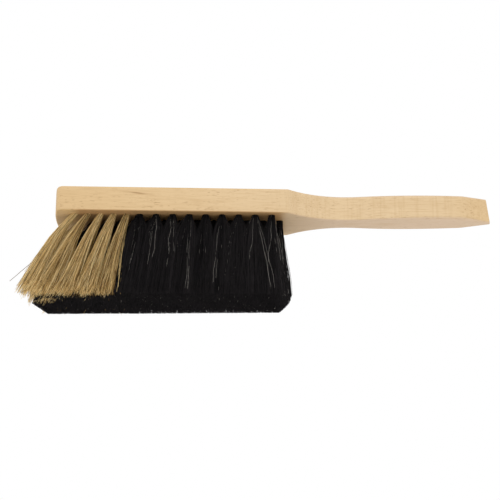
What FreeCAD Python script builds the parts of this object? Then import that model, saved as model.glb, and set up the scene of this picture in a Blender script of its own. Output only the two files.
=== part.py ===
import FreeCAD, Part
import math
import os

import Sketcher

# Hand broom with a one-piece beech stock and handle, drilled and filled with staple-set hair tufts.
# +X runs along the handle, +Z is up, and the trimmed hair tips stand on the plane z = 0.

Vector = FreeCAD.Vector

# Driving dimensions in millimetres
SIZES = [
    ("stock_length", 160.4, "front end of the stock to its shoulder"),
    ("handle_length", 139.6, "shoulder to the end of the handle"),
    ("front_width", 58.8, "how far apart the stock's sides are at its front end"),
    ("shoulder_width", 46.1, "how far apart they are at its shoulder"),
    ("stock_thickness", 17.8, "thickness of the board that stock and handle are cut from"),
    ("front_radius", 138.0, "bow of the front end, seen from above"),
    ("front_corner_radius", 4.5, "corners of the front end, seen from above"),
    ("shoulder_round", 3.0, "rounding of the shoulder corner"),
    ("neck_width", 15.9, "narrowest width of the handle"),
    ("neck_radius", 60.4, "hollow curve from the shoulder to the neck"),
    ("grip_width", 22.6, "widest width of the grip"),
    ("grip_radius", 312.0, "bow of the grip's sides"),
    ("taper_length", 19.0, "how far before its end the handle starts to taper"),
    ("end_width", 5.0, "width that the tapered sides reach at the handle's end"),
    ("taper_round", 10.0, "blend from the grip into the taper"),
    ("end_slant", 2.2, "how much further the handle's end reaches below than above"),
    ("top_edge_round", 2.4, "round-over of the upper edges of stock and handle"),
    ("edge_round", 1.0, "round-over of the lower edges of stock and neck"),
    ("grip_edge_round", 3.0, "round-over of the grip's lower edges where they start to taper"),
    ("end_edge_round", 1.6, "round-over of the same edges at the handle's end"),
    ("hole_diameter", 4.6, "drilled tuft hole"),
    ("hole_depth", 10.5, "depth of a tuft hole along its own axis"),
    ("front_margin", 14.3, "front end of the stock to the first hole of an unshifted row"),
    ("handle_end_margin", 11.6, "shoulder to the last hole of an unshifted row"),
    ("row_spacing", 13.4, "between rows of holes at the front end"),
    ("shoulder_row_spacing", 11.3, "between rows of holes at the shoulder"),
    ("beard_spacing", 8.9, "between holes along the pale front stretch of a row"),
    ("trim_length", 57.5, "underside of the stock to the trimmed tips"),
    ("tip_fan", 1.35, "how much further apart the tips of black tufts are than their holes"),
    ("beard_fan", 4.3, "the same along the pale front stretch of a row"),
    ("tip_row_spacing", 13.0, "between rows at the tips, at the front end"),
    ("handle_end_flare", 1.5, "how far the last tuft leans towards the handle"),
    ("beard_shortening", 2.4, "how far above the trimmed tips the pale hair ends"),
    ("beard_flare", 2.0, "how far the pale side tufts lean out past their row"),
    ("tip_gap", 0.4, "clear space between neighbouring tufts at the tips"),
    ("tuft_clearance", 0.1, "hair to hole wall, hole floor and staple"),
    ("staple_width", 3.4, "outer width of a staple"),
    ("staple_wire", 0.8, "side of the square staple wire"),
    ("staple_bite", 3.5, "how deep the legs sink below the hole's floor"),
    ("fold_height", 1.8, "staple's crown to the hole's floor, where the hair is folded"),
    ("slit_clearance", 0.05, "staple leg to the slit that it cuts in the wood"),
    ("cut_overrun", 1.0, "how far a cutting shape runs past the face that it cuts"),
]

# Tufts in a row, from the front end: the pale beard first, then the black ones
TUFTS_PER_ROW = 14
OUTER_BEARD_TUFTS = 5
INNER_BEARD_TUFTS = 1
BLACK_STEPS = TUFTS_PER_ROW - OUTER_BEARD_TUFTS - 1

# A tuft and its hole are drawn with the same few flats, because there are so many of them
SECTION_CORNERS = 8

# How square the tips are packed (1 is an ellipse)
TIP_SQUARENESS_SHARE = 0.5

# A tuft opens quickly below its hole: how far down that is, and how much of its spread it has there
BELLY_LENGTH_SHARE = 0.4
BELLY_SPREAD_SHARE = 0.7

# Length of the wood in terms of the spreadsheet, and how a sketch names its origin, its upright axis and the spots
# of its pieces: first point, last point and centre
WOOD_LENGTH = "sizes.stock_length + sizes.handle_length"
SKETCH_ORIGIN = (-1, 1)
SKETCH_UPRIGHT = -2
SKETCH_SPOTS = (1, 2, 3)

# Rows from the user's left hand (-Y) to the right, with the half-step shift of every second row
ROWS = [
    ("left_outer", -1.5, False, OUTER_BEARD_TUFTS),
    ("left_inner", -0.5, True, INNER_BEARD_TUFTS),
    ("right_inner", 0.5, False, INNER_BEARD_TUFTS),
    ("right_outer", 1.5, True, OUTER_BEARD_TUFTS),
]


class Tuft:
    """Place, axes and section points of one tuft, in the stock's own coordinates."""

    def __init__(self, name, mouth, tip, corners, size):
        self.name = name
        self.mouth = mouth
        self.axis = (tip - mouth).normalize()
        across = Vector(1, 0, 0) - self.axis * self.axis.x
        self.along_row = across.normalize()
        self.across_row = self.along_row.cross(self.axis)
        hair_radius = size.hole_diameter / 2 - size.tuft_clearance
        self.root_ring = self.ring_in_hole(hair_radius, size.hole_depth - size.tuft_clearance)
        self.mouth_ring = [self.drop_to_underside(point, size) for point in self.root_ring]
        self.belly_ring = self.ring_at_belly(tip, corners)
        self.tip_ring = [tip + corner for corner in corners]

    def point(self, along_row, across_row, depth):
        """A point in the hole's frame, depth counting from the mouth into the wood."""
        return self.mouth + self.along_row * along_row + self.across_row * across_row - self.axis * depth

    def ring_in_hole(self, radius, depth):
        return [self.point(radius * math.cos(turn), radius * math.sin(turn), depth) for turn in section_turns()]

    def drop_to_underside(self, point, size):
        return point + self.axis * ((size.trim_length - point.z) / self.axis.z)

    def ring_at_belly(self, tip, corners):
        centre = self.mouth + (tip - self.mouth) * BELLY_LENGTH_SHARE
        ring = []
        for start, corner in zip(self.mouth_ring, corners):
            narrow = start - self.mouth
            ring.append(centre + narrow + (corner - narrow) * BELLY_SPREAD_SHARE)
        return ring


class Sizes:
    """The spreadsheet's values under their aliases, and the sizes that follow from them."""

    def __init__(self, sheet):
        for alias, _, _ in SIZES:
            setattr(self, alias, float(sheet.get(alias)))
        self.wood_length = self.stock_length + self.handle_length
        row_length = self.stock_length - self.front_margin - self.handle_end_margin
        self.tuft_spacing = (row_length - OUTER_BEARD_TUFTS * self.beard_spacing) / BLACK_STEPS
        self.tip_spacing = self.tuft_spacing + self.tip_fan
        self.beard_tip_spacing = self.beard_spacing + self.beard_fan


def section_turns():
    step = 2 * math.pi / SECTION_CORNERS
    return [(index + 0.5) * step for index in range(SECTION_CORNERS)]


def squared(value):
    return math.copysign(abs(value) ** TIP_SQUARENESS_SHARE, value)


def row_closeness(hole_x, size):
    """How close the rows are at this distance from the front end, as a share of their spacing there."""
    return 1 + (size.shoulder_row_spacing / size.row_spacing - 1) * hole_x / size.stock_length


def tip_corners(closeness, size):
    """Corners of the space that a tuft fills at its tip, round its middle."""
    half_along = (min(size.tip_spacing, size.beard_tip_spacing) - size.tip_gap) / 2
    half_across = (size.tip_row_spacing * closeness - size.tip_gap) / 2
    return [
        Vector(half_along * squared(math.cos(turn)), half_across * squared(math.sin(turn)), 0)
        for turn in section_turns()
    ]


def make_sheet(doc):
    sheet = doc.addObject("Spreadsheet::Sheet", "sizes")
    for row, (alias, value, note) in enumerate(SIZES, start=1):
        sheet.set(f"A{row}", note)
        sheet.set(f"B{row}", str(value))
        sheet.setAlias(f"B{row}", alias)
    doc.recompute()
    return sheet


def lay_out_tufts(size):
    """All tufts, row by row, each leaning so that the tips spread evenly over the sweeping edge."""
    tufts = []
    for row_name, row_steps, shifted, beard_count in ROWS:
        for number in range(1, TUFTS_PER_ROW + 1):
            from_handle = TUFTS_PER_ROW - number
            black_steps = min(from_handle, BLACK_STEPS)
            beard_steps = from_handle - black_steps
            hole_x = size.stock_length - size.handle_end_margin
            tip_x = hole_x + size.handle_end_flare
            hole_x -= black_steps * size.tuft_spacing + beard_steps * size.beard_spacing
            tip_x -= black_steps * size.tip_spacing + beard_steps * size.beard_tip_spacing
            if shifted:
                hole_x += (size.beard_spacing if beard_steps else size.tuft_spacing) / 2
                tip_x += (size.beard_tip_spacing if beard_steps else size.tip_spacing) / 2
            pale = number <= beard_count
            closeness = row_closeness(hole_x, size)
            tip_y = row_steps * size.tip_row_spacing * closeness
            if pale and beard_count == OUTER_BEARD_TUFTS:
                tip_y += math.copysign(size.beard_flare, row_steps)
            kind = "beard_tuft" if pale else "tuft"
            mouth = Vector(hole_x, row_steps * size.row_spacing * closeness, size.trim_length)
            name = f"{row_name}_{kind}_{number:02d}"
            tip = Vector(tip_x, tip_y, size.beard_shortening if pale else 0)
            tufts.append(Tuft(name, mouth, tip, tip_corners(closeness, size), size))
    return tufts


def meet(start, way, centre, reach):
    """Where a line first comes within reach of a centre."""
    offset = start - centre
    along = offset.dot(way)
    return start - way * (along + math.sqrt(along ** 2 - offset.dot(offset) + reach ** 2))


def leftward(way):
    """Square to a way in the plan, on its left."""
    return Vector(-way.y, way.x)


class Outline:
    """Centres and joints of the half plan outline, worked out from the sizes."""

    def __init__(self, size):
        self.front_mark = Vector(0, size.front_width / 2)
        self.shoulder = Vector(size.stock_length, size.shoulder_width / 2)
        side = (self.shoulder - self.front_mark).normalize()
        outward = leftward(side)
        self.front_centre = Vector(size.front_radius, 0)
        inner = size.front_radius - size.front_corner_radius
        corner_line = self.front_mark - outward * size.front_corner_radius
        self.corner_centre = meet(corner_line, side, self.front_centre, inner)
        to_corner = (self.corner_centre - self.front_centre) / inner
        self.front_joint = self.front_centre + to_corner * size.front_radius
        self.side_start = self.corner_centre + outward * size.front_corner_radius

        neck_y = size.neck_width / 2 + size.neck_radius
        neck_run = math.sqrt(size.neck_radius ** 2 - (neck_y - self.shoulder.y) ** 2)
        self.neck_centre = Vector(size.stock_length + neck_run, neck_y)
        reach = size.neck_radius + size.shoulder_round
        self.round_centre = meet(self.shoulder - outward * size.shoulder_round, side, self.neck_centre, reach)
        self.side_end = self.round_centre + outward * size.shoulder_round
        to_neck = (self.neck_centre - self.round_centre) / reach
        self.round_joint = self.round_centre + to_neck * size.shoulder_round

        half_grip = size.grip_width / 2
        rise = neck_y - half_grip + size.grip_radius
        grip_run = math.sqrt((size.neck_radius + size.grip_radius) ** 2 - rise ** 2)
        self.grip_top = Vector(self.neck_centre.x + grip_run, half_grip)
        self.grip_centre = self.grip_top - Vector(0, size.grip_radius)
        to_grip = (self.grip_centre - self.neck_centre).normalize()
        self.neck_joint = self.neck_centre + to_grip * size.neck_radius

        self.end_corner = Vector(size.wood_length, size.end_width / 2)
        taper_x = size.wood_length - size.taper_length
        drop = size.grip_radius - math.sqrt(size.grip_radius ** 2 - (taper_x - self.grip_top.x) ** 2)
        self.taper_corner = Vector(taper_x, half_grip - drop)
        down = (self.end_corner - self.taper_corner).normalize()
        out = leftward(down)
        blend_reach = size.grip_radius - size.taper_round
        self.blend_centre = meet(self.end_corner - out * size.taper_round, down, self.grip_centre, blend_reach)
        to_blend = (self.blend_centre - self.grip_centre).normalize()
        self.grip_joint = self.grip_centre + to_blend * size.grip_radius
        self.taper_start = self.blend_centre + out * size.taper_round
        self.taper_end = self.end_corner + down * (size.cut_overrun / down.x)
        self.end_middle = Vector(self.taper_end.x, 0)


def arc_between(centre, start, end):
    """Arc of a circle from start to end, drawn the way that the half outline turns."""
    circle = Part.Circle(centre, Vector(0, 0, 1), (start - centre).Length)
    first = math.atan2(start.y - centre.y, start.x - centre.x)
    last = math.atan2(end.y - centre.y, end.x - centre.x)
    if (start - centre).cross(end - centre).z < 0:
        first, last = last, first
    return Part.ArcOfCircle(circle, first, last)


def bind(sketch, constraint, name, expression):
    index = sketch.addConstraint(constraint)
    sketch.renameConstraint(index, name)
    sketch.setExpression(f"Constraints.{name}", expression)


def bind_reaches(sketch, reaches):
    """Distances of points from the sketch's origin, each tied to the sizes."""
    for kind, piece, spot, name, expression in reaches:
        place = sketch.getPoint(piece, spot)
        reach = place.x if kind == "DistanceX" else place.y
        bind(sketch, Sketcher.Constraint(kind, *SKETCH_ORIGIN, piece, spot, reach), name, expression)


def draw_half_outline(sketch, size):
    """Half of the plan outline, from the front end to just past the handle's end and back along the middle."""
    plan = Outline(size)
    origin = Vector(0, 0)
    front, corner, side, shoulder, neck, grip, blend, taper, end, middle = range(10)
    sketch.addGeometry([
        arc_between(plan.front_centre, origin, plan.front_joint),
        arc_between(plan.corner_centre, plan.front_joint, plan.side_start),
        Part.LineSegment(plan.side_start, plan.side_end),
        arc_between(plan.round_centre, plan.side_end, plan.round_joint),
        arc_between(plan.neck_centre, plan.round_joint, plan.neck_joint),
        arc_between(plan.grip_centre, plan.neck_joint, plan.grip_joint),
        arc_between(plan.blend_centre, plan.grip_joint, plan.taper_start),
        Part.LineSegment(plan.taper_start, plan.taper_end),
        Part.LineSegment(plan.taper_end, plan.end_middle),
        Part.LineSegment(plan.end_middle, origin),
    ], False)
    front_mark, shoulder_mark, grip_mark, taper_mark, end_mark = sketch.addGeometry([
        Part.Point(plan.front_mark),
        Part.Point(plan.shoulder),
        Part.Point(plan.grip_top),
        Part.Point(plan.taper_corner),
        Part.Point(plan.end_corner),
    ], True)

    # A clockwise arc runs from its last point to its first
    first, last, centre = SKETCH_SPOTS
    constraint = Sketcher.Constraint
    joints = [
        (front, first, corner, last), (corner, first, side, first), (side, last, shoulder, last),
        (shoulder, first, neck, first), (neck, last, grip, last), (grip, first, blend, last),
        (blend, first, taper, first),
    ]
    for joint in joints:
        sketch.addConstraint(constraint("Tangent", *joint))
    sketch.addConstraint([
        constraint("Coincident", taper, last, end, first),
        constraint("Coincident", end, last, middle, first),
        constraint("Coincident", middle, last, *SKETCH_ORIGIN),
        constraint("Coincident", front, last, *SKETCH_ORIGIN),
        constraint("Horizontal", middle),
        constraint("PointOnObject", front, centre, middle),
        constraint("Vertical", end),
        constraint("PointOnObject", front_mark, first, SKETCH_UPRIGHT),
        constraint("PointOnObject", front_mark, first, side),
        constraint("PointOnObject", shoulder_mark, first, side),
        constraint("PointOnObject", shoulder_mark, first, neck),
        constraint("PointOnObject", grip_mark, first, grip),
        constraint("Vertical", grip_mark, first, grip, centre),
        constraint("PointOnObject", taper_mark, first, grip),
        constraint("PointOnObject", taper_mark, first, taper),
        constraint("PointOnObject", end_mark, first, taper),
    ])
    radii = [
        (front, "front_radius"), (corner, "front_corner_radius"), (shoulder, "shoulder_round"),
        (neck, "neck_radius"), (grip, "grip_radius"), (blend, "taper_round"),
    ]
    for piece, alias in radii:
        bind(sketch, constraint("Radius", piece, getattr(size, alias)), alias, f"sizes.{alias}")
    reaches = [
        ("DistanceX", end, last, "sawn_length", f"{WOOD_LENGTH} + sizes.cut_overrun"),
        ("DistanceX", end_mark, first, "wood_length", WOOD_LENGTH),
        ("DistanceX", shoulder_mark, first, "stock_length", "sizes.stock_length"),
        ("DistanceX", taper_mark, first, "taper_position", f"{WOOD_LENGTH} - sizes.taper_length"),
        ("DistanceY", front_mark, first, "half_front", "sizes.front_width / 2"),
        ("DistanceY", shoulder_mark, first, "half_shoulder", "sizes.shoulder_width / 2"),
        ("DistanceY", grip_mark, first, "half_grip", "sizes.grip_width / 2"),
        ("DistanceY", end_mark, first, "half_end", "sizes.end_width / 2"),
        ("DistanceY", neck, centre, "neck_hollow", "sizes.neck_width / 2 + sizes.neck_radius"),
    ]
    bind_reaches(sketch, reaches)


def origin_plane(body, role):
    return next(plane for plane in body.Origin.OriginFeatures if plane.Role == role)


def draw_end_cut(sketch, size):
    """What the slanting saw cut takes off the handle's end, seen from the side."""
    end = Vector(size.wood_length, size.trim_length)
    lean = Vector(-size.end_slant, size.stock_thickness)
    past = lean * (size.cut_overrun / size.stock_thickness)
    below, above = end - past, end + lean + past
    outer_x = size.wood_length + 2 * size.cut_overrun
    corners = [below, Vector(outer_x, below.y), Vector(outer_x, above.y), above]
    sketch.addGeometry([Part.LineSegment(*pair) for pair in zip(corners, corners[1:] + corners[:1])], False)
    low, outer, high, cut = range(4)
    first, last, _ = SKETCH_SPOTS
    constraint = Sketcher.Constraint
    sketch.addConstraint([
        constraint("Coincident", low, last, outer, first),
        constraint("Coincident", outer, last, high, first),
        constraint("Coincident", high, last, cut, first),
        constraint("Coincident", cut, last, low, first),
        constraint("Horizontal", low),
        constraint("Vertical", outer),
        constraint("Horizontal", high),
    ])
    lean_share = "sizes.end_slant / sizes.stock_thickness * sizes.cut_overrun"
    top = "sizes.trim_length + sizes.stock_thickness"
    reaches = [
        ("DistanceX", low, first, "cut_below", f"{WOOD_LENGTH} + {lean_share}"),
        ("DistanceX", low, last, "cut_outer", f"{WOOD_LENGTH} + 2 * sizes.cut_overrun"),
        ("DistanceX", high, last, "cut_above", f"{WOOD_LENGTH} - sizes.end_slant - {lean_share}"),
        ("DistanceY", low, first, "cut_low", "sizes.trim_length - sizes.cut_overrun"),
        ("DistanceY", high, last, "cut_high", f"{top} + sizes.cut_overrun"),
    ]
    bind_reaches(sketch, reaches)


def make_board(doc, size):
    """The sawn board: half the plan outline padded to the board's thickness, mirrored, and sawn off at its end."""
    body = doc.addObject("PartDesign::Body", "sawn_board")
    sketch = body.newObject("Sketcher::SketchObject", "half_plan")
    sketch.AttachmentSupport = [(origin_plane(body, "XY_Plane"), "")]
    sketch.MapMode = "FlatFace"
    sketch.setExpression("AttachmentOffset.Base.z", "sizes.trim_length")
    doc.recompute()
    draw_half_outline(sketch, size)
    pad = body.newObject("PartDesign::Pad", "half_board")
    pad.Profile = sketch
    pad.setExpression("Length", "sizes.stock_thickness")
    doc.recompute()
    mirrored = body.newObject("PartDesign::Mirrored", "whole_board")
    mirrored.Originals = [pad]
    mirrored.MirrorPlane = (origin_plane(body, "XZ_Plane"), [""])
    body.Tip = mirrored
    doc.recompute()
    side = body.newObject("Sketcher::SketchObject", "end_cut_side")
    side.AttachmentSupport = [(origin_plane(body, "XZ_Plane"), "")]
    side.MapMode = "FlatFace"
    doc.recompute()
    draw_end_cut(side, size)
    end_cut = body.newObject("PartDesign::Pocket", "end_cut")
    end_cut.Profile = side
    end_cut.Type = "ThroughAll"
    end_cut.Midplane = True
    body.Tip = end_cut
    doc.recompute()
    return body


def round_edges(doc, board, size):
    """Round-over of the long edges, slight below the stock and growing along the grip. The sawn end is crisp."""
    plan = Outline(size)
    rounded = doc.addObject("Part::Fillet", "rounded_board")
    rounded.Base = board
    middle_z = size.trim_length + size.stock_thickness / 2
    edges = []
    for index, edge in enumerate(board.Shape.Edges, start=1):
        box = edge.BoundBox
        upright = box.ZMin < middle_z < box.ZMax
        middle_x = box.Center.x
        if upright or middle_x > size.wood_length - size.end_slant - size.edge_round:
            continue
        lower = box.ZMax < middle_z
        start = end = size.edge_round if lower else size.top_edge_round
        if lower and middle_x > plan.neck_joint.x:
            start = size.edge_round if middle_x < plan.grip_joint.x else size.grip_edge_round
            end = size.grip_edge_round if middle_x < plan.taper_start.x else size.end_edge_round
            if edge.firstVertex(True).X > edge.lastVertex(True).X:
                start, end = end, start
        edges.append((index, start, end))
    rounded.Edges = edges
    doc.recompute()
    return rounded


def ring_wire(points):
    return Part.makePolygon(points + points[:1])


def skin(rings):
    """A solid with flat triangles from ring to ring and a flat face over each end."""
    faces = [Part.Face(ring_wire(rings[0])), Part.Face(ring_wire(rings[-1]))]
    for upper, lower in zip(rings, rings[1:]):
        for index in range(len(upper)):
            following = (index + 1) % len(upper)
            faces.append(Part.Face(ring_wire([upper[index], upper[following], lower[following]])))
            faces.append(Part.Face(ring_wire([upper[index], lower[following], lower[index]])))
    solid = Part.Solid(Part.Shell(faces))
    if solid.Volume < 0:
        solid.reverse()
    return solid


def plate(tuft, thickness, corners):
    """A plate across the row in the middle of a hole, from its corners across the row and into the wood."""
    points = [tuft.point(-thickness / 2, across, depth) for across, depth in corners]
    return Part.Face(ring_wire(points)).extrude(tuft.along_row * thickness)


def box_corners(across, depth):
    return [(across[0], depth[0]), (across[1], depth[0]), (across[1], depth[1]), (across[0], depth[1])]


def leg_ranges(size, clearance):
    """Where the two legs of a staple stand across the row, with room around them."""
    outer = size.staple_width / 2 + clearance
    inner = size.staple_width / 2 - size.staple_wire - clearance
    return [(-outer, -inner), (inner, outer)]


def make_drillings(doc, tufts, size):
    """The tuft holes, each leaning with its tuft, and the slits that the staple legs cut in their floors."""
    holes = []
    slit_width = size.staple_wire + 2 * size.slit_clearance
    slit_depth = (size.hole_depth - size.cut_overrun, size.hole_depth + size.staple_bite + size.slit_clearance)
    for tuft in tufts:
        radius = size.hole_diameter / 2
        hole = skin([tuft.ring_in_hole(radius, size.hole_depth), tuft.ring_in_hole(radius, -size.hole_diameter)])
        legs = leg_ranges(size, size.slit_clearance)
        slits = [plate(tuft, slit_width, box_corners(across, slit_depth)) for across in legs]
        holes.append(hole.fuse(slits).removeSplitter())
    drillings = doc.addObject("Part::Feature", "drillings")
    drillings.Shape = Part.makeCompound(holes)
    return drillings


def make_stock(doc, tufts, size):
    """The finished beech stock: rounded board with all its tuft holes."""
    stock = doc.addObject("Part::Cut", "stock")
    stock.Base = round_edges(doc, make_board(doc, size), size)
    stock.Tool = make_drillings(doc, tufts, size)
    doc.recompute()
    return stock


def make_tuft(doc, tuft, size):
    """One tuft: straight in its hole, spreading to its trimmed tip, and parted at the root by its staple."""
    rings = [tuft.root_ring, tuft.mouth_ring, tuft.belly_ring, tuft.tip_ring]
    hair = skin(rings)
    parting_width = size.staple_wire + 2 * size.tuft_clearance
    reach = size.hole_diameter / 2
    crown_depth = size.hole_depth - size.fold_height - size.tuft_clearance
    floor = size.hole_depth + size.cut_overrun
    parting = plate(tuft, parting_width, box_corners((-reach, reach), (crown_depth, floor)))
    feature = doc.addObject("Part::Feature", tuft.name)
    feature.Shape = hair.cut(parting)
    return feature


def make_staple(tuft, size):
    """A square-wire staple over the fold of its tuft, with its legs in the wood."""
    crown_depth = size.hole_depth - size.fold_height
    crown_under = crown_depth + size.staple_wire
    leg_end = size.hole_depth + size.staple_bite
    (left_outer, left_inner), (right_inner, right_outer) = leg_ranges(size, 0)
    return plate(tuft, size.staple_wire, [
        (left_outer, crown_depth), (right_outer, crown_depth), (right_outer, leg_end), (right_inner, leg_end),
        (right_inner, crown_under), (left_inner, crown_under), (left_inner, leg_end), (left_outer, leg_end),
    ])


def make_staples(doc, tufts, size):
    staples = doc.addObject("Part::Feature", "tuft_staples")
    staples.Shape = Part.makeCompound([make_staple(tuft, size) for tuft in tufts])
    return staples


def centre_over_origin(pieces):
    """Slide everything along X so that the origin lies under the middle of the broom's length."""
    boxes = [piece.Shape.optimalBoundingBox() for piece in pieces]
    middle = (min(box.XMin for box in boxes) + max(box.XMax for box in boxes)) / 2
    for piece in pieces:
        piece.Placement = FreeCAD.Placement(Vector(-middle, 0, 0), FreeCAD.Rotation())


def check_document(doc, pieces):
    failed = [item.Name for item in doc.Objects if "Invalid" in item.State or "Error" in item.State]
    failed += [piece.Name for piece in pieces if piece.Shape.isNull() or not piece.Shape.isValid()]
    if failed:
        raise RuntimeError("not built: " + ", ".join(failed))


def main():
    doc = FreeCAD.newDocument("hand_broom")
    size = Sizes(make_sheet(doc))
    tufts = lay_out_tufts(size)
    pieces = [make_stock(doc, tufts, size)]
    pieces += [make_tuft(doc, tuft, size) for tuft in tufts]
    pieces.append(make_staples(doc, tufts, size))
    doc.recompute()
    centre_over_origin(pieces)
    for piece in pieces:
        piece.Label = piece.Name
    doc.recompute()
    check_document(doc, pieces)
    os.makedirs("parts", exist_ok=True)
    for piece in pieces:
        piece.Shape.exportStep(f"parts/{piece.Label}.step")
        box = piece.Shape.optimalBoundingBox()
        print(f"{piece.Label}: {len(piece.Shape.Solids)} solids, {piece.Shape.Volume:.1f} mm3,"
              f" x {box.XMin:.2f} to {box.XMax:.2f}, z {box.ZMin:.2f} to {box.ZMax:.2f}")


main()
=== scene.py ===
import math

import bmesh
import bpy
import numpy as np
from bpy.props import FloatProperty, FloatVectorProperty, IntProperty, PointerProperty
from mathutils import Matrix, Vector


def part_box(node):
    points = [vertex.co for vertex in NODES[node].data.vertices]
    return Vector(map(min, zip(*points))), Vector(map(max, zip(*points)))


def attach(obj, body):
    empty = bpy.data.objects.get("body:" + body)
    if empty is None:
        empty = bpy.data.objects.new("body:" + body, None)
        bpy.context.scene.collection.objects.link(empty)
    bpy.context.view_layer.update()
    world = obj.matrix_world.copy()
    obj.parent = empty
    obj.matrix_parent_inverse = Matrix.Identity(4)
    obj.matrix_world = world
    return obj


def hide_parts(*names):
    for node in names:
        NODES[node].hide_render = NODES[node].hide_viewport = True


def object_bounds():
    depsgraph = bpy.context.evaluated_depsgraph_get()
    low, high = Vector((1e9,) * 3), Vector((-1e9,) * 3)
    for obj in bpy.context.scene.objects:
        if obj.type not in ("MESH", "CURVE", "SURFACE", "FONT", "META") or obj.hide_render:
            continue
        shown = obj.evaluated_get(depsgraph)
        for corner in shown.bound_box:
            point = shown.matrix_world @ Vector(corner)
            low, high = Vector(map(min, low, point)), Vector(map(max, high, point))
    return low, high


bl_info = {
    "name": "Hand Broom",
    "version": (1, 0, 0),
    "blender": (4, 5, 0),
    "location": "View3D > Sidebar > Hand Broom",
    "description": "Dresses the frame of a hand broom in beech and horsehair",
    "category": "Add Mesh",
}

# The fixed frame: a drilled stock, its tufts and their staples, in metres, standing on the trimmed hair tips
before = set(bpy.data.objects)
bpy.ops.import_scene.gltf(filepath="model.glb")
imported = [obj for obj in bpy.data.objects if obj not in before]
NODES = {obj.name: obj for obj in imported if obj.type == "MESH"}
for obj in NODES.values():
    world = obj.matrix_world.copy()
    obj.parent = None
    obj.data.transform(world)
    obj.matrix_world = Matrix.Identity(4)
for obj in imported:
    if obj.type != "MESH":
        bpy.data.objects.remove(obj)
CAD_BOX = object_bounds()
STOCK_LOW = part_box("stock")[0]
TRIM_LENGTH = STOCK_LOW.z - CAD_BOX[0].z
TUFTS_PER_ROW = sum(name.startswith("left_outer") for name in NODES)
OUTER_BEARD_TUFTS = sum(name.startswith("left_outer_beard") for name in NODES)
INNER_BEARD_TUFTS = sum(name.startswith("left_inner_beard") for name in NODES)
BODY = "root"

# How near two points of the frame are one, how near to the stock's underside they lie on it,
# how little the facets of one face turn, and how much the larger faces shade the edges
MERGE_DISTANCE, MERGE_DECIMALS = 1e-6, 6
TOUCHING = 1e-5
FLAT_ANGLE = math.radians(0.2)
NORMAL_WEIGHT = 100

# Along the broom: where the colour of the handle begins and ends on the sides, where it begins on the faces,
# and where the cutter marks begin
HANDLE_SIDES_BEGIN, HANDLE_SIDES_END = (-0.14, 0.05), (0.125, 0.155)
HANDLE_FACES_BEGIN = (-0.02, 0.06)
CUTTER_MARKS_BEGIN = (0.0, 0.03)

# How far the painted shade between the tufts fades, outside and inside the first and last staple
FADE_OUTSIDE, FADE_INSIDE = 0.006, 0.002

# The part of a surface's normal at which it turns into a face, a side, an end or the underside
FACE_TURN, SIDE_TURN, END_TURN, UNDERSIDE_TURN = (0.3, 0.7), (0.5, 0.9), (0.75, 0.95), (-0.6, -0.3)

# Figure of the beech and the wire: cells of the noises, how much of them shows, and how the dark streak lies
FIBRE_CELL, PATCH_CELL, MARK_LENGTH = (0.02, 0.0007, 0.0007), (0.05, 0.012, 0.012), 0.03
GRAIN_BAND, FLECK_BAND, PATCH_BAND, MARK_BAND = (0.42, 0.72), (0.60, 0.74), (0.35, 0.65), (0.45, 0.75)
SHEEN_BAND, STREAK_CORE, STREAK_HALO = (0.3, 0.7), (0.1, 1.2), (0.5, 3.0)
STREAK_TILT, STREAK_DEPTH = math.radians(6.5), 0.004
WIRE_CELL, WIRE_BAND = (0.0001, 0.0001, 0.003), (0.3, 0.7)

# One hair: a three-sided strand with a ring in its hole, one at the mouth and the rest down to its tip
HAIR_SIDES = 3
HAIR_RINGS = 8
HAIR_TIP_TAPER = 0.9
THICKNESS_RANGE = (0.8, 1.2)

# Along the hair, from 0 at the hole's mouth to 1 at the tips: the belly of the CAD tuft, and the hair's own
CAD_BELLY, BELLY_PLACE = 0.4, 0.25

# The hair's own map: how light a hair is across, root to tip along. A second map holds a copy of it.
# Then its stretches where a root gets lighter out of its painted shade, and where an end gets lighter with
# painted light.
HAIR_MAP, BAKE_MAP = "hair_run", "OFBake"
STRAND_WIDTH = 0.012
PAINTED_ROOT_SHADE, PAINTED_END_LIGHT = (0.12, 0.45), (0.88, 1.0)

# Tones on that map: the black hairs, by lock and by hair, then the light strays, and the pale hairs
BLACK_LOCK_TONES, BLACK_HAIR_TONES, LIGHTEST_BLACK = (-0.1, 0.5), (0, 0.4), 0.84
WORN_TONE, STRAY_TONE, STRAY_TONES = 0.86, 0.9, (0.92, 1.0)
PALE_LOCK_TONES, PALE_SCATTER = (0.05, 0.95), 0.3

# Axes of a tuft, along its row and across it, and how far in and how unevenly hairs end along a side of it
ALONG, ACROSS = 0, 1
SIDE_DEPTH, SIDE_JITTER = 0.5, 0.03

# Light strays, as shares of their tuft: the half turn that faces outwards, their roots and tips, how far
# along the row they go at the handle end, and how long they are
OUTWARD_TURN = (-0.15, 1.15)
STRAY_ROOTS, STRAY_TIPS, STRAY_LIMIT, STRAY_ENDS = (0.6, 1.0), (1.1, 1.4), 0.9, (0.4, 0.98)

# The trim at the handle end: how far it rises past the end line, where its corners begin and how they curve
TRIM_OVERRUN = 1.3
CORNERS_BEGIN, CORNER_CURVE = 0.3, 1.5

# The beard: how many tufts of a row are fuller, which is of middle tone, how much more the inner ones bulge,
# and the one hair that stands out
FULL_TUFTS, MIDDLE_BEARD_TUFT, INNER_BULGE = 2, 3, 2
OUTLIER_NODE, OUTLIER_TONE, OUTLIER_THICKNESS = "left_inner_beard_tuft_01", 0, 2

# Seeds of the tufts, so that each run gives the same hair
BLACK_SEED, BEARD_SEED = 4100, 7300

# The least size that a setting can have
LEAST_SIZE = 1e-5

# The stage
KEY_PLACE, FILL_PLACE, LAMP_SIDE = (-0.45, -1.0, 0.75), (0.9, -0.7, 0.35), 0.8
NEAR_CLIP = 0.05
WHITE = (1, 1, 1, 1)


def colour_setting(name, description, default):
    return FloatVectorProperty(
        name=name, description=description, subtype="COLOR", size=4, min=0, max=1, default=(*default, 1))


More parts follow.
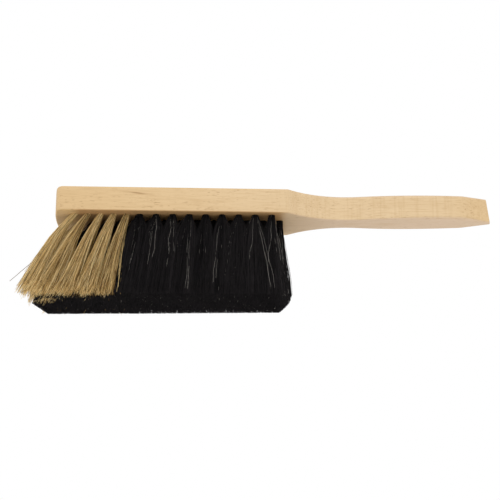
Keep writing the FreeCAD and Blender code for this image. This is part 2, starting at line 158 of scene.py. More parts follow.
def place_setting(name, description, default):
    return FloatVectorProperty(
        name=name, description=description, subtype="TRANSLATION", unit="LENGTH", size=3, default=default)


def length_setting(name, description, default, least=0):
    return FloatProperty(name=name, description=description, unit="LENGTH", min=least, default=default)


def size_setting(name, description, default):
    return length_setting(name, description, default, least=LEAST_SIZE)


def share_setting(name, description, default):
    return FloatProperty(name=name, description=description, subtype="FACTOR", min=0, max=1, default=default)


def ratio_setting(name, description, default, least=0):
    return FloatProperty(name=name, description=description, min=least, default=default)


def count_setting(name, description, default, least=1):
    return IntProperty(name=name, description=description, min=least, default=default)


class WoodSettings(bpy.types.PropertyGroup):
    """Colours and figure of the beech stock."""

    sides: colour_setting("Sides", "Moulded sides of the board at both ends", (0.716, 0.503, 0.265))
    handle_sides: colour_setting("Handle Sides", "Moulded sides of the handle", (0.762, 0.568, 0.342))
    faces: colour_setting("Faces", "Planed upper and lower face of the handle", (0.735, 0.552, 0.385))
    stock_faces: colour_setting(
        "Stock Faces", "Planed upper and lower face of the stock", (0.73, 0.50, 0.235))
    # Painted shade: the lower face of the stock is darker between the tufts, where the hair shades it
    painted_shade_between_tufts: colour_setting(
        "Between the Tufts", "Lower face of the stock, where the tufts stand", (0.49, 0.28, 0.115))
    grain: colour_setting("Grain", "Darker fibres and veins along the grain", (0.56, 0.37, 0.18))
    fleck: colour_setting("Flecks", "Short brown flecks that mark beech", (0.36, 0.20, 0.085))
    end_grain: colour_setting("End Grain", "Cut ends of the board", (0.62, 0.42, 0.225))
    vein_length: size_setting("Vein Length", "Length of one vein along the grain", 0.11)
    vein_width: size_setting("Vein Width", "Distance from vein to vein", 0.007)
    fleck_length: size_setting("Fleck Length", "Length of one fleck along the grain", 0.0042)
    fleck_width: size_setting("Fleck Width", "Width of one fleck", 0.0008)
    cutter_pitch: size_setting(
        "Cutter Marks", "Distance between the moulder's marks across the handle", 0.0016)
    streak_place: place_setting(
        "Streak", "Place of the one dark streak in the stock's left side", (-0.0812, -0.027, 0.0703))
    streak_length: size_setting("Streak Length", "Half the length of the dark streak", 0.0062)
    streak_width: size_setting("Streak Width", "Half the width of the dark streak", 0.0005)
    sharp_angle: FloatProperty(
        name="Sharp Angle", description="Edges that turn by more than this stay sharp",
        subtype="ANGLE", min=0, max=math.pi, default=math.radians(30))


class HairSettings:
    """What every tuft of hair has."""

    locks: count_setting("Locks", "Locks that the hairs of one tuft gather in", 110)
    hole_length: length_setting(
        "Length in the Hole", "How far a hair goes up its hole, to the fold under the staple", 0.0084)
    bow: length_setting("Bow", "How far a hair bends from its straight run", 0.0007)
    loose_reach: ratio_setting(
        "Loose Reach",
        "How far loose locks reach along the row, as a share of their place in the tuft", 1.6, least=1)
    opening: share_setting(
        "Opening", "How soon a tuft opens below its hole; it comes out straight where zero", 0.6)


class BlackHairSettings(HairSettings, bpy.types.PropertyGroup):
    """The black hair of the sweeping edge."""

    hairs: count_setting("Hairs", "Hairs in one tuft", 620)
    thickness: size_setting("Thickness", "Thickness of one hair", 0.00026)
    spread: ratio_setting(
        "Spread", "How far the tips spread along the row, as a share of their tuft's room", 1.1)
    side_spread: ratio_setting(
        "Side Spread", "How far the tips spread across the row, as a share of their tuft's room", 1.22)
    crossing: share_setting("Crossing", "How far the hairs of a tuft cross each other", 0.2)
    lined_up: share_setting("Lined Up", "Share of the hairs that end along each free side of a tuft", 0.33)
    loose_share: share_setting(
        "Loose Share", "Share of the locks that cross over to the neighbouring tufts", 0.25)
    scatter: share_setting(
        "Scatter", "How far the hairs of a lock scatter, as a share of the tuft's half width", 0.16)
    deep: colour_setting("Deep Black", "The darkest hairs", (0.006, 0.0054, 0.006))
    worn: colour_setting("Worn Black", "The lightest of the black hairs", (0.029, 0.0255, 0.0265))
    stray_grey: colour_setting(
        "Grey Strays", "The darkest of the single light hairs among the black", (0.50, 0.47, 0.43))
    stray_tan: colour_setting(
        "Tan Strays", "The lightest of the single light hairs among the black", (0.95, 0.90, 0.80))
    strays: count_setting("Strays", "Single light hairs in one tuft", 5, least=0)
    stray_drift: ratio_setting(
        "Stray Drift", "How far a light hair drifts along the row, as a share of the tuft's half width", 1.1)
    stray_thickness: size_setting("Stray Thickness", "Thickness of one light hair", 0.000075)
    stray_lift: length_setting(
        "Stray Lift", "How far a light hair lies off its straight run, towards the side of the broom", 0.0011)
    stray_kink: length_setting(
        "Stray Kinks", "How far a light hair turns aside from one stretch to the next", 0.0003)
    belly: ratio_setting(
        "Belly", "How full the tuft is below its hole, as a share of its CAD solid's belly", 1.25)
    end_hollow: length_setting(
        "End Hollow", "How far the last tufts of the rows are hollow towards the handle", 0.0012)
    gather: share_setting("Gather", "How far the hairs of a lock close up", 0.2)
    fuzz: share_setting(
        "Fuzz", "How far the tips of the locks stray, as a share of the tuft's half width", 0.1)
    unevenness: share_setting(
        "Unevenness", "How uneven the trimmed tips are, as a share of the hair's length", 0.0015)
    left_spread: ratio_setting(
        "Left Spread", "How much further out the black tips between the beard spread on the left", 1.0)
    right_spread: ratio_setting("Right Spread", "The same on the right", 1.9)
    front_bow: length_setting(
        "Front Bow", "How far the front of the black tips comes forward in the middle", 0.0055)
    front_reach: size_setting(
        "Front Reach", "How far to the sides the front of the black tips runs back", 0.0185)
    handle_run: size_setting(
        "Handle Run", "Length of the rounded stretch of the trim at the handle end", 0.009)
    handle_rise: length_setting("Handle Rise", "How far the trim rises to the handle end", 0.004)
    corner_draw: length_setting(
        "Corner Draw", "How far the tips at the two corners of the handle end are drawn in", 0.0068)


class PaleHairSettings(HairSettings, bpy.types.PropertyGroup):
    """The pale hair of the beard round the front end."""

    hairs: count_setting("Hairs", "Hairs in one tuft", 720)
    thickness: size_setting("Thickness", "Thickness of one hair", 0.00022)
    spread: ratio_setting(
        "Spread", "How far the tips spread along the row, as a share of their tuft's room", 0.9)
    side_spread: ratio_setting(
        "Side Spread", "How far the tips spread across the row, as a share of their tuft's room", 1.0)
    crossing: share_setting("Crossing", "How far the hairs of a tuft cross each other", 0.5)
    loose_share: share_setting(
        "Loose Share", "Share of the locks that cross over to the neighbouring tufts", 0.18)
    scatter: share_setting(
        "Scatter", "How far the hairs of a lock scatter, as a share of the tuft's half width", 0.2)
    longest: size_setting("Longest Hair", "Length at which hairs that lean far out are cut", 0.0635)
    brown: colour_setting("Brown", "The darkest hairs", (0.16, 0.09, 0.03))
    straw: colour_setting("Straw", "Most of the hairs", (0.72, 0.475, 0.175))
    bleached: colour_setting("Bleached", "The lightest hairs", (0.97, 0.76, 0.39))
    belly: ratio_setting("Belly", "How full the tuft is below its hole, where one is straight", 0.95)
    gather: share_setting("Gather", "How far the hairs of a lock close up", 0.45)
    fuzz: share_setting(
        "Fuzz", "How far the tips of the locks stray, as a share of the tuft's half width", 0.16)
    unevenness: share_setting("Unevenness", "How uneven the tips are, as a share of the hair's length", 0.035)
    short_share: share_setting("Short Share", "Share of the hairs that end well above the tips", 0.3)
    short_reach: share_setting(
        "Short Reach", "How much shorter those hairs are at most, as a share of the hair's length", 0.22)
    inward_share: share_setting(
        "Inward Share", "Share of the left outer row's hairs that lean in under the broom", 0.2)
    inward_reach: length_setting("Inward Reach", "How far in their tips are at most", 0.012)
    backward_share: share_setting(
        "Backward Share", "Share of the last beard tufts' hairs that cross over the black hair", 0.07)
    backward_reach: length_setting("Backward Reach", "How far back their tips are at most", 0.008)
    flare: length_setting("Flare", "How much further out the outer rows' tips stand than in CAD", 0.002)
    front_draw: length_setting("Front Draw", "How far the first tips are drawn back", 0.002)
    inner_draw: length_setting("Inner Draw", "How much further the inner tips are drawn back", 0.003)
    front_bulge: length_setting(
        "Front Bulge",
        "How far the first tufts of the outer rows bulge to the front; the inner ones do twice as far", 0.003)
    front_fullness: ratio_setting("Front Fullness", "How much fuller the two first tufts of a row are", 1.35)
    front_lightness: share_setting(
        "Front Lightness", "How much lighter the hair gets from one tuft to the next towards the front", 0.06)
    outlier: place_setting(
        "Outlying Hair",
        "Where the one hair that stands out in front of the beard ends", (-0.1682, -0.0066, 0.0140))
    far_draw: length_setting(
        "Right Draw", "How much further the first tips of the right outer row are drawn back", 0.0025)
    far_shortening: share_setting(
        "Right Shortening", "How much shorter the right rows are, as a share of the hair's length", 0.09)


class StageSettings(bpy.types.PropertyGroup):
    """Camera, floor and light."""

    camera_distance: size_setting("Camera Distance", "Camera to the point it aims at", 1.0)
    camera_elevation: FloatProperty(
        name="Camera Elevation",
        description="Height of the camera above the horizon; below it where negative",
        subtype="ANGLE", default=math.radians(-19))
    camera_aim: place_setting("Camera Aim", "Point in the middle of the picture", (-0.0049, 0.0, 0.03865))
    lens: FloatProperty(
        name="Lens", description="Focal length of the camera", unit="CAMERA", min=1, default=104.4)
    floor_size: size_setting("Floor Size", "Side of the square floor", 8.0)
    floor_colour: colour_setting("Floor Colour", "Plain pale floor", (0.86, 0.86, 0.86))
    sky_strength: ratio_setting("Sky Strength", "Even light from all round", 0.9)
    key_power: FloatProperty(
        name="Key Light", description="Soft lamp in front, above and to the left",
        unit="POWER", min=0, default=2.6)
    fill_power: FloatProperty(
        name="Fill Light", description="Soft lamp to the right", unit="POWER", min=0, default=1.0)


class BroomSettings(bpy.types.PropertyGroup):
    """All that a user would change on the broom."""

    wood: PointerProperty(name="Wood", description="The beech stock", type=WoodSettings)
    black_hair: PointerProperty(name="Black Hair", description="The sweeping edge", type=BlackHairSettings)
    pale_hair: PointerProperty(name="Pale Hair", description="The beard", type=PaleHairSettings)
    stage: PointerProperty(name="Stage", description="Camera, floor and light", type=StageSettings)


class Nodes:
    """The nodes of a material or of the world, put together one by one."""

    def __init__(self, owner):
        owner.use_nodes = True
        self.tree = owner.node_tree

    def node(self, kind, inputs=None, **options):
        made = self.tree.nodes.new(kind)
        for name, value in options.items():
            setattr(made, name, value)
        for name, value in (inputs or {}).items():
            self.feed(value, made.inputs[name])
        return made

    def feed(self, value, socket):
        if isinstance(value, bpy.types.NodeSocket):
            self.tree.links.new(value, socket)
        else:
            socket.default_value = value

    def calculate(self, operation, *values):
        return self.node("ShaderNodeMath", dict(enumerate(values)), operation=operation).outputs["Value"]


class Finish(Nodes):
    """A material with one surface."""

    def __init__(self, name, roughness, specular):
        self.material = bpy.data.materials.new(name)
        super().__init__(self.material)
        self.surface = self.tree.nodes["Principled BSDF"]
        self.surface.inputs["Roughness"].default_value = roughness
        self.surface.inputs["Specular IOR Level"].default_value = specular

    def place(self):
        """Object coordinates, in metres."""
        return self.node("ShaderNodeTexCoord").outputs["Object"]

    def noise(self, cell, detail=2.0, distortion=0.0):
        """Noise in cells of this size along X, Y and Z, in metres."""
        scale = [1 / side for side in cell]
        mapped = self.node("ShaderNodeMapping", {"Vector": self.place(), "Scale": scale})
        return self.node("ShaderNodeTexNoise", {
            "Vector": mapped.outputs["Vector"], "Scale": 1.0, "Detail": detail, "Distortion": distortion,
        }).outputs["Fac"]

    def band(self, value, low, high, start=0.0, end=1.0):
        """A value from start to end as the input goes from low to high."""
        return self.node("ShaderNodeMapRange", {
            "Value": value, "From Min": low, "From Max": high, "To Min": start, "To Max": end,
        }, interpolation_type="SMOOTHSTEP").outputs["Result"]

    def times(self, first, second):
        return self.calculate("MULTIPLY", first, second)

    def size_of(self, value):
        return self.calculate("ABSOLUTE", value)

    def blend(self, share, first, second, kind="MIX"):
        mixed = self.node("ShaderNodeMix", data_type="RGBA", blend_type=kind)
        colours = [socket for socket in mixed.inputs if socket.type == "RGBA"]
        self.feed(share, mixed.inputs["Factor"])
        self.feed(first, colours[0])
        self.feed(second, colours[1])
        return next(socket for socket in mixed.outputs if socket.type == "RGBA")

    def ramp(self, value, stops):
        made = self.node("ShaderNodeValToRGB", {"Fac": value})
        elements = made.color_ramp.elements
        while len(elements) < len(stops):
            elements.new(1.0)
        for element, (position, colour) in zip(elements, stops):
            element.position = position
            element.color = colour
        return made.outputs["Color"]

    def bump(self, height, strength, distance):
        self.feed(self.node("ShaderNodeBump", {
            "Height": height, "Strength": strength, "Distance": distance,
        }).outputs["Normal"], self.surface.inputs["Normal"])


def make_beech(wood):
    """Sanded beech: veins, fibres, short brown flecks, cutter marks on the handle, darker cut ends, and
    painted shade on the lower face between the tufts.
    """
    beech = Finish("sanded_beech", roughness=0.55, specular=0.25)
    normal = beech.node("ShaderNodeSeparateXYZ", {
        "Vector": beech.node("ShaderNodeTexCoord").outputs["Normal"],
    }).outputs
    along = beech.node("ShaderNodeSeparateXYZ", {"Vector": beech.place()}).outputs["X"]

    on_handle = beech.times(
        beech.band(along, *HANDLE_SIDES_BEGIN), beech.band(along, *HANDLE_SIDES_END, start=1.0, end=0.3))
    sides = beech.blend(on_handle, wood.sides, wood.handle_sides)
    faces = beech.blend(beech.band(along, *HANDLE_FACES_BEGIN), wood.stock_faces, wood.faces)
    # Painted shade on the lower face of the stock, between the first and last staple, where the hair shades
    # the wood
    first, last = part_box("tuft_staples")
    tuft_shade_span = beech.times(
        beech.band(along, first.x - FADE_OUTSIDE, first.x + FADE_INSIDE),
        beech.band(along, last.x - FADE_INSIDE, last.x + FADE_OUTSIDE, start=1.0, end=0.0))
    underneath = beech.band(normal["Z"], *UNDERSIDE_TURN, start=1.0, end=0.0)
    faces = beech.blend(beech.times(tuft_shade_span, underneath), faces, wood.painted_shade_between_tufts)
    on_face = beech.band(beech.size_of(normal["Z"]), *FACE_TURN)
    colour = beech.blend(on_face, sides, faces)

    veins = beech.noise((wood.vein_length, wood.vein_width, wood.vein_width), detail=3.0, distortion=0.3)
    colour = beech.blend(beech.band(veins, *GRAIN_BAND, end=0.16), colour, wood.grain)
    fibres = beech.noise(FIBRE_CELL, detail=3.0)
    colour = beech.blend(beech.band(fibres, *GRAIN_BAND, end=0.40), colour, wood.grain)
    flecks = beech.noise((wood.fleck_length, wood.fleck_width, wood.fleck_width), detail=1.0)
    patches = beech.noise(PATCH_CELL, detail=1.0)
    flecked = beech.times(
        beech.band(flecks, *FLECK_BAND, end=0.48), beech.band(patches, *PATCH_BAND, start=0.3))
    colour = beech.blend(flecked, colour, wood.fleck)

    marks = beech.noise((wood.cutter_pitch, MARK_LENGTH, MARK_LENGTH), detail=1.0)
    on_side = beech.band(beech.size_of(normal["Y"]), *SIDE_TURN)
    cut = beech.band(along, *CUTTER_MARKS_BEGIN, start=0.15)
    marked = beech.times(beech.band(marks, *MARK_BAND, end=0.26), beech.times(on_side, cut))
    colour = beech.blend(marked, colour, wood.grain)

    streak = beech.node("ShaderNodeMapping", {
        "Vector": beech.place(), "Location": wood.streak_place, "Rotation": (0, STREAK_TILT, 0),
        "Scale": (wood.streak_length, STREAK_DEPTH, wood.streak_width),
    }, vector_type="TEXTURE").outputs["Vector"]
    from_streak = beech.node("ShaderNodeVectorMath", {0: streak}, operation="LENGTH").outputs["Value"]
    colour = beech.blend(beech.band(from_streak, *STREAK_CORE, start=0.95, end=0.0), colour, wood.fleck)
    colour = beech.blend(beech.band(from_streak, *STREAK_HALO, start=0.2, end=0.0), colour, wood.fleck)

    on_end = beech.band(beech.size_of(normal["X"]), *END_TURN, end=0.7)
    colour = beech.blend(on_end, colour, wood.end_grain)
    beech.feed(colour, beech.surface.inputs["Base Color"])
    beech.feed(beech.band(veins, *SHEEN_BAND, start=0.50, end=0.62), beech.surface.inputs["Roughness"])
    beech.bump(fibres, strength=0.10, distance=0.0003)
    return beech.material


def make_hair(name, stops, painted_root_shade, painted_end_light, roughness, specular):
    """Hair that goes by its own map: its colour from hair to hair, a root darkened with painted shade and an
    end lightened with painted light.
    """
    hair = Finish(name, roughness, specular)
    run = hair.node("ShaderNodeSeparateXYZ", {
        "Vector": hair.node("ShaderNodeUVMap", uv_map=HAIR_MAP).outputs["UV"],
    }).outputs
    tone = hair.ramp(run["X"], stops)
    # Painted shade at the root, where the hair is shaded under the stock, and painted light at the end, where
    # the tips catch the light
    root = hair.band(run["Y"], *PAINTED_ROOT_SHADE, start=painted_root_shade)
    end = hair.band(run["Y"], *PAINTED_END_LIGHT, start=1.0, end=painted_end_light)
    colour = hair.blend(1.0, tone, hair.times(root, end), "MULTIPLY")
    hair.feed(colour, hair.surface.inputs["Base Color"])
    return hair.material


def make_drawn_wire():
    """Bright drawn wire, with fine lines along it."""
    wire = Finish("drawn_wire", roughness=0.3, specular=0.5)
    lines = wire.noise(WIRE_CELL)
    low, high = WIRE_BAND
    colour = wire.ramp(lines, [(low, (0.42, 0.42, 0.43, 1)), (high, (0.62, 0.62, 0.63, 1))])
    wire.feed(colour, wire.surface.inputs["Base Color"])
    wire.feed(wire.band(lines, low, high, start=0.22, end=0.4), wire.surface.inputs["Roughness"])
    wire.surface.inputs["Metallic"].default_value = 1.0
    return wire.material


def select_only(piece):
    bpy.ops.object.select_all(action="DESELECT")
    piece.select_set(True)
    bpy.context.view_layer.objects.active = piece


def show(name, mesh):
    piece = bpy.data.objects.new(name, mesh)
    bpy.context.scene.collection.objects.link(piece)
    return piece


def model_hair():
    """One straight hair of unit length and radius up the Z axis, from which all the others are copied."""
    half = 0.5
    bpy.ops.mesh.primitive_cylinder_add(
        vertices=HAIR_SIDES, radius=1.0, depth=1.0, end_fill_type="NGON", location=(0, 0, half))
    bpy.ops.object.transform_apply(location=True, rotation=True, scale=True)
    hair = bpy.context.active_object
    hair.name = "single_hair"
    bpy.ops.object.mode_set(mode="EDIT")
    bpy.ops.mesh.select_mode(type="EDGE")
    strand = bmesh.from_edit_mesh(hair.data)
    for edge in strand.edges:
        bottom, top = sorted(vertex.co.z for vertex in edge.verts)
        edge.select_set(bottom < half < top)
    bmesh.update_edit_mesh(hair.data)
    bpy.ops.mesh.subdivide(number_cuts=HAIR_RINGS - 2)
    bpy.ops.mesh.select_mode(type="VERT")
    bpy.ops.mesh.select_all(action="DESELECT")
    strand = bmesh.from_edit_mesh(hair.data)
    for vertex in strand.verts:
        vertex.select_set(vertex.co.z > 1 - half / HAIR_RINGS)
    strand.select_flush(True)
    bmesh.update_edit_mesh(hair.data)
    bpy.ops.transform.resize(value=(HAIR_TIP_TAPER, HAIR_TIP_TAPER, 1))
    bpy.ops.object.mode_set(mode="OBJECT")
    bpy.ops.object.shade_smooth()
    return hair


class TuftRings:
    """The rings of a CAD tuft, each in order round the tuft, and the run of its hole."""

    def __init__(self, node):
        points = np.array([vertex.co for vertex in node.data.vertices])
        points = np.unique(points.round(MERGE_DECIMALS), axis=0)
        height = points[:, 2] - STOCK_LOW.z
        self.mouth = self.in_order(points[abs(height) < TOUCHING])
        below = points[height < -TOUCHING]
        below = below[np.argsort(-below[:, 2])]
        corners = len(self.mouth)
        self.belly = self.in_order(below[:corners])
        self.tip = self.in_order(below[corners:])
        root = points[height > TOUCHING].mean(0) - self.mouth.mean(0)
        self.into_hole = root / np.linalg.norm(root)

    def in_order(self, ring):
        middle = ring.mean(0)
        turn = np.arctan2(ring[:, 1] - middle[1], ring[:, 0] - middle[0]) % (2 * math.pi)
        return ring[np.argsort(turn)]


def on_ring(ring, disc):
    """Points of the unit disc carried over to the inside of a ring."""
    middle = ring.mean(0)
    turn = np.arctan2(disc[:, 1], disc[:, 0]) / (2 * math.pi) % 1 * len(ring) - 0.5
    before = np.floor(turn).astype(int)
    share = (turn - before)[:, None]
    rim = ring[before % len(ring)] * (1 - share) + ring[(before + 1) % len(ring)] * share
    return middle + np.linalg.norm(disc, axis=1)[:, None] * (rim - middle)


def on_box(ring, square):
    """Points of the square from -1 to 1 carried over to the box round a flat ring."""
    low, high = ring.min(0), ring.max(0)
    return (low + high + (high - low) * np.pad(square, ((0, 0), (0, 1)))) / 2


def disc_points(rng, count):
    """Points spread evenly over the unit disc."""
    turn = rng.uniform(0, 2 * math.pi, count)
    reach = np.sqrt(rng.uniform(0, 1, count))
    return np.stack([reach * np.cos(turn), reach * np.sin(turn)], 1)


def smooth_run(start, end, start_pull, end_pull, share):
    """Points on a smooth curve between two points, with its pull at each end."""
    s = share[:, :, None]
    return (
        (2 * s ** 3 - 3 * s ** 2 + 1) * start[:, None] + (s ** 3 - 2 * s ** 2 + s) * start_pull[:, None]
        + (3 * s ** 2 - 2 * s ** 3) * end[:, None] + (s ** 3 - s ** 2) * end_pull[:, None]
    )


def lay_paths(rings, style, rng, places, ends, opening):
    """Where each hair runs: a row of points from inside its hole, over its mouth and belly, to its own end.

    The places are those of the hairs at the mouth, at the belly and at the tips."""
    mouth, middle, point = places
    length = np.linalg.norm(point - mouth, axis=1)[:, None]
    out_of_hole = -rings.into_hole * length * BELLY_PLACE
    leaving = out_of_hole + (middle - mouth - out_of_hole) * opening
    along = np.linspace(0, 1, HAIR_RINGS - 1) * ends[:, None]
    upper = smooth_run(mouth, middle, leaving, (point - mouth) * BELLY_PLACE, along / BELLY_PLACE)
    rest = 1 - BELLY_PLACE
    lower = smooth_run(middle, point, (point - mouth) * rest, point - middle, (along - BELLY_PLACE) / rest)
    path = np.where((along < BELLY_PLACE)[:, :, None], upper, lower)
    for waves in (1, 2):
        bent = rng.normal(0, style.bow / waves, (len(ends), 1, 2))
        path[:, :, :2] += bent * np.sin(waves * math.pi * along)[:, :, None]
    path[:, :, 2] = path[:, :, 2].clip(CAD_BOX[0].z + style.thickness)
    deep = mouth + rings.into_hole * style.hole_length
    return np.concatenate([deep[:, None], path], 1)


def copy_along(hair, paths, thickness, rolls):
    """The single hair's points, carried over to every path."""
    pattern = np.array([vertex.co for vertex in hair.data.vertices])
    ring = np.rint(pattern[:, 2] * (HAIR_RINGS - 1)).astype(int)
    run = np.gradient(paths, axis=1)
    run /= np.linalg.norm(run, axis=2)[:, :, None]
    across = np.cross(run, (1.0, 0.0, 0.0))
    across /= np.linalg.norm(across, axis=2)[:, :, None]
    other = np.cross(run, across)
    cos, sin = np.cos(rolls)[:, None], np.sin(rolls)[:, None]
    side = (pattern[:, 0] * cos - pattern[:, 1] * sin)[:, :, None]
    front = (pattern[:, 0] * sin + pattern[:, 1] * cos)[:, :, None]
    radius = (thickness / 2)[:, None, None]
    return paths[:, ring] + radius * (across[:, ring] * side + other[:, ring] * front)


def weave_tuft(name, hair, rng, paths, thickness, tones):
    """One mesh of all the hairs of a tuft, each rolled its own way, with the hair's map and its copy."""
    points = copy_along(hair, paths, thickness, rng.uniform(0, 2 * math.pi, len(paths)))
    count, each = points.shape[:2]
    loops = np.array([corner.vertex_index for corner in hair.data.loops])
    starts = np.array([face.loop_start for face in hair.data.polygons])
    step = np.arange(count)[:, None]
    mesh = bpy.data.meshes.new(name)
    mesh.vertices.add(count * each)
    mesh.vertices.foreach_set("co", points.astype(np.float32).ravel())
    mesh.loops.add(count * len(loops))
    mesh.loops.foreach_set("vertex_index", (loops + step * each).ravel().astype(np.int32))
    mesh.polygons.add(count * len(starts))
    mesh.polygons.foreach_set("loop_start", (starts + step * len(loops)).ravel().astype(np.int32))
    mesh.update(calc_edges=True)
    mesh.shade_smooth()

    pattern = np.array([vertex.co for vertex in hair.data.vertices])[loops]
    across = (0.5 + pattern[:, 0] / 2) * STRAND_WIDTH
    tone = tones[:, None] * (1 - STRAND_WIDTH) + across
    along = np.broadcast_to(pattern[:, 2], tone.shape)
    places = np.stack([tone, along], 2).astype(np.float32).ravel()
    for map_name in (HAIR_MAP, BAKE_MAP):
        mesh.uv_layers.new(name=map_name).uv.foreach_set("vector", places)
    return mesh


def inside(disc):
    """Points of a disc, with those outside its rim drawn in to it."""
    return disc / np.linalg.norm(disc, axis=1).clip(1)[:, None]


def squared(disc):
    """Points of the unit disc spread out over the square round it."""
    return disc * (np.linalg.norm(disc, axis=1) / abs(disc).max(1))[:, None]


def gathered(rng, style, root, node):
    """Where the hairs of a tuft are at its belly and its tips, drawn together in locks, and each hair's lock.

    Some locks are loose: they cross over to the neighbouring tufts of their row, if there is one."""
    locks = disc_points(rng, style.locks)
    lock = np.linalg.norm(root[:, None] - locks, axis=2).argmin(1)
    drawn = root + (locks[lock] - root) * style.gather
    drawn += (disc_points(rng, len(root)) - root) * style.crossing
    astray = rng.normal(0, style.fuzz, locks.shape)[lock] + rng.normal(0, style.scatter, root.shape)
    belly = squared(inside(drawn + astray / 2)) * style.belly
    tip = squared(inside((drawn + astray) * (1 + style.crossing / 2)))
    loose = rng.uniform(0, 1, style.locks) < style.loose_share
    reach = np.where(loose, rng.uniform(1, style.loose_reach, style.locks), 1)[lock]
    for places in (belly, tip):
        places[:, 0] *= reach
        if place_in_row(node) == 1:
            places[:, 0] = places[:, 0].clip(-1)
        if place_in_row(node) == TUFTS_PER_ROW:
            places[:, 0] = places[:, 0].clip(None, 1)
    return belly, tip, lock


def line_up(rng, style, root, tip, sides):
    """Ends the outermost hairs of a tuft along some of its sides, each given by its axis and direction."""
    count = int(style.lined_up * len(root))
    free = np.arange(len(root))
    for axis, side in sides:
        order = free[np.argsort(-side * root[free, axis])]
        outer, free = order[:count], order[count:]
        outer = outer[np.argsort(root[outer, 1 - axis])]
        tip[outer, axis] = side * (1 - SIDE_DEPTH * rng.uniform(0, 1, count) ** 2)
        tip[outer, 1 - axis] = np.linspace(-1, 1, count) + rng.normal(0, SIDE_JITTER, count)


def stretch(tips, ring, line, side):
    """Stretches the tips of a tuft along the row, from its inner side to a line."""
    start, end = (ring[:, 0].min(), ring[:, 0].max())[::side]
    tips[:, 0] = start + ((tips[:, 0] - start) / (end - start)).clip(None, 1) * (line - start)


def reach_front(style, tips, ring, front):
    """Stretches the first black tips forward to a line that runs back from the middle of the broom."""
    bow = style.front_bow * (1 - abs(tips[:, 1]) / style.front_reach)
    stretch(tips, ring, front - bow, -1)


def reach_handle_end(style, tips, ring, corner):
    """Stretches the last tips to a line that is drawn in at the two corners of the handle end."""
    to_side = (abs(tips[:, 1]) / corner.y - CORNERS_BEGIN).clip(0) / (1 - CORNERS_BEGIN)
    stretch(tips, ring, corner.x - style.corner_draw * to_side ** CORNER_CURVE, 1)


def finish_tuft(node, mesh, material):
    """Puts the hair of a tuft in the place of its CAD solid."""
    piece = show(f"{node.name}_hair", mesh)
    piece.data.materials.append(material)
    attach(piece, BODY)
    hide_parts(node.name)


def place_in_row(node):
    """A tuft's number along its row, from the front end."""
    return int(node.name[-2:])


def side_of(node):
    """Which side of the broom a tuft is on: -1 on the left, 1 on the right."""
    return -1 if node.name.startswith("left") else 1


def tuft_nodes(pale):
    """The CAD tufts of the beard, or all the others, by name."""
    names = sorted(name for name in NODES if "_tuft_" in name and ("beard" in name) == pale)
    return [NODES[name] for name in names]


def outside(rng, node, count):
    """Places on the rim of a tuft, on the side that faces away from the broom's middle."""
    turn = rng.uniform(*OUTWARD_TURN, count) * math.pi
    return np.stack([np.cos(turn), side_of(node) * np.sin(turn)], 1)


def behind_beard(node):
    """Whether a black tuft is in an inner row, between or just behind the pale tufts of the outer rows."""
    return "inner" in node.name and place_in_row(node) <= OUTER_BEARD_TUFTS + 1


def black_strands(style, node, rng, front, corner):
    """Where the hairs of a black tuft run, how thick they are and their tones. The light strays come last."""
    rings, place, side = TuftRings(node), place_in_row(node), side_of(node)
    outer, under_beard, last = "outer" in node.name, behind_beard(node), place == TUFTS_PER_ROW
    first = under_beard and place == INNER_BEARD_TUFTS + 1
    widening = 1
    if under_beard:
        widening = style.left_spread if side < 0 else style.right_spread
    hairs = int(style.hairs * widening)
    count = hairs + style.strays
    stray = np.arange(count) >= hairs

    # Roots and tips, as shares of the tuft
    root = disc_points(rng, count)
    facing = outside(rng, node, style.strays)
    root[stray] = facing * rng.uniform(*STRAY_ROOTS, (style.strays, 1))
    belly, tip, lock = gathered(rng, style, root, node)
    sides = [(ACROSS, side)] if outer or under_beard else []
    if first:
        sides.append((ALONG, -1))
    line_up(rng, style, root[:hairs], tip[:hairs], sides)
    tip[stray] = facing * rng.uniform(*STRAY_TIPS, (style.strays, 1))
    tip[stray, 0] += rng.normal(0, style.stray_drift, style.strays)
    if last:
        tip[stray, 0] = tip[stray, 0].clip(None, STRAY_LIMIT)
    tip *= (style.spread, style.side_spread)

    # The same in metres, with the first and last tips stretched to the ends of the trim
    mouth, middle, point = on_ring(rings.mouth, root), on_ring(rings.belly, belly), on_box(rings.tip, tip)
    middle += (point - mouth) * (BELLY_PLACE - CAD_BELLY)
    point[:, 1] *= widening
    if first:
        reach_front(style, point, rings.tip, front)
    if last:
        reach_handle_end(style, point, rings.tip, corner)
    straight = mouth + (point - mouth) * BELLY_PLACE
    if last:
        middle[:, 0] = np.minimum(middle[:, 0], straight[:, 0] - style.end_hollow)
    middle[stray] = straight[stray]
    middle[stray, 1] += side * style.stray_lift

    # Lengths, paths and tones
    to_end = ((point[:, 0] - corner.x + style.handle_run) / style.handle_run).clip(0, TRIM_OVERRUN)
    ends = 1 - to_end * style.handle_rise / TRIM_LENGTH - abs(rng.normal(0, style.unevenness, count))
    if outer:
        ends[stray] *= rng.uniform(*STRAY_ENDS, style.strays)
    opening = np.where(stray, 1, style.opening)[:, None]
    paths = lay_paths(rings, style, rng, (mouth, middle, point), ends, opening)
    paths[stray, 2:, :2] += rng.normal(0, style.stray_kink, (style.strays, HAIR_RINGS - 2, 2))
    tones = rng.uniform(*BLACK_LOCK_TONES, style.locks)[lock] + rng.uniform(*BLACK_HAIR_TONES, count)
    tones = tones.clip(0, LIGHTEST_BLACK)
    tones[stray] = rng.uniform(*STRAY_TONES, style.strays)
    thickness = np.where(stray, style.stray_thickness, style.thickness) * rng.uniform(*THICKNESS_RANGE, count)
    return paths, thickness, tones


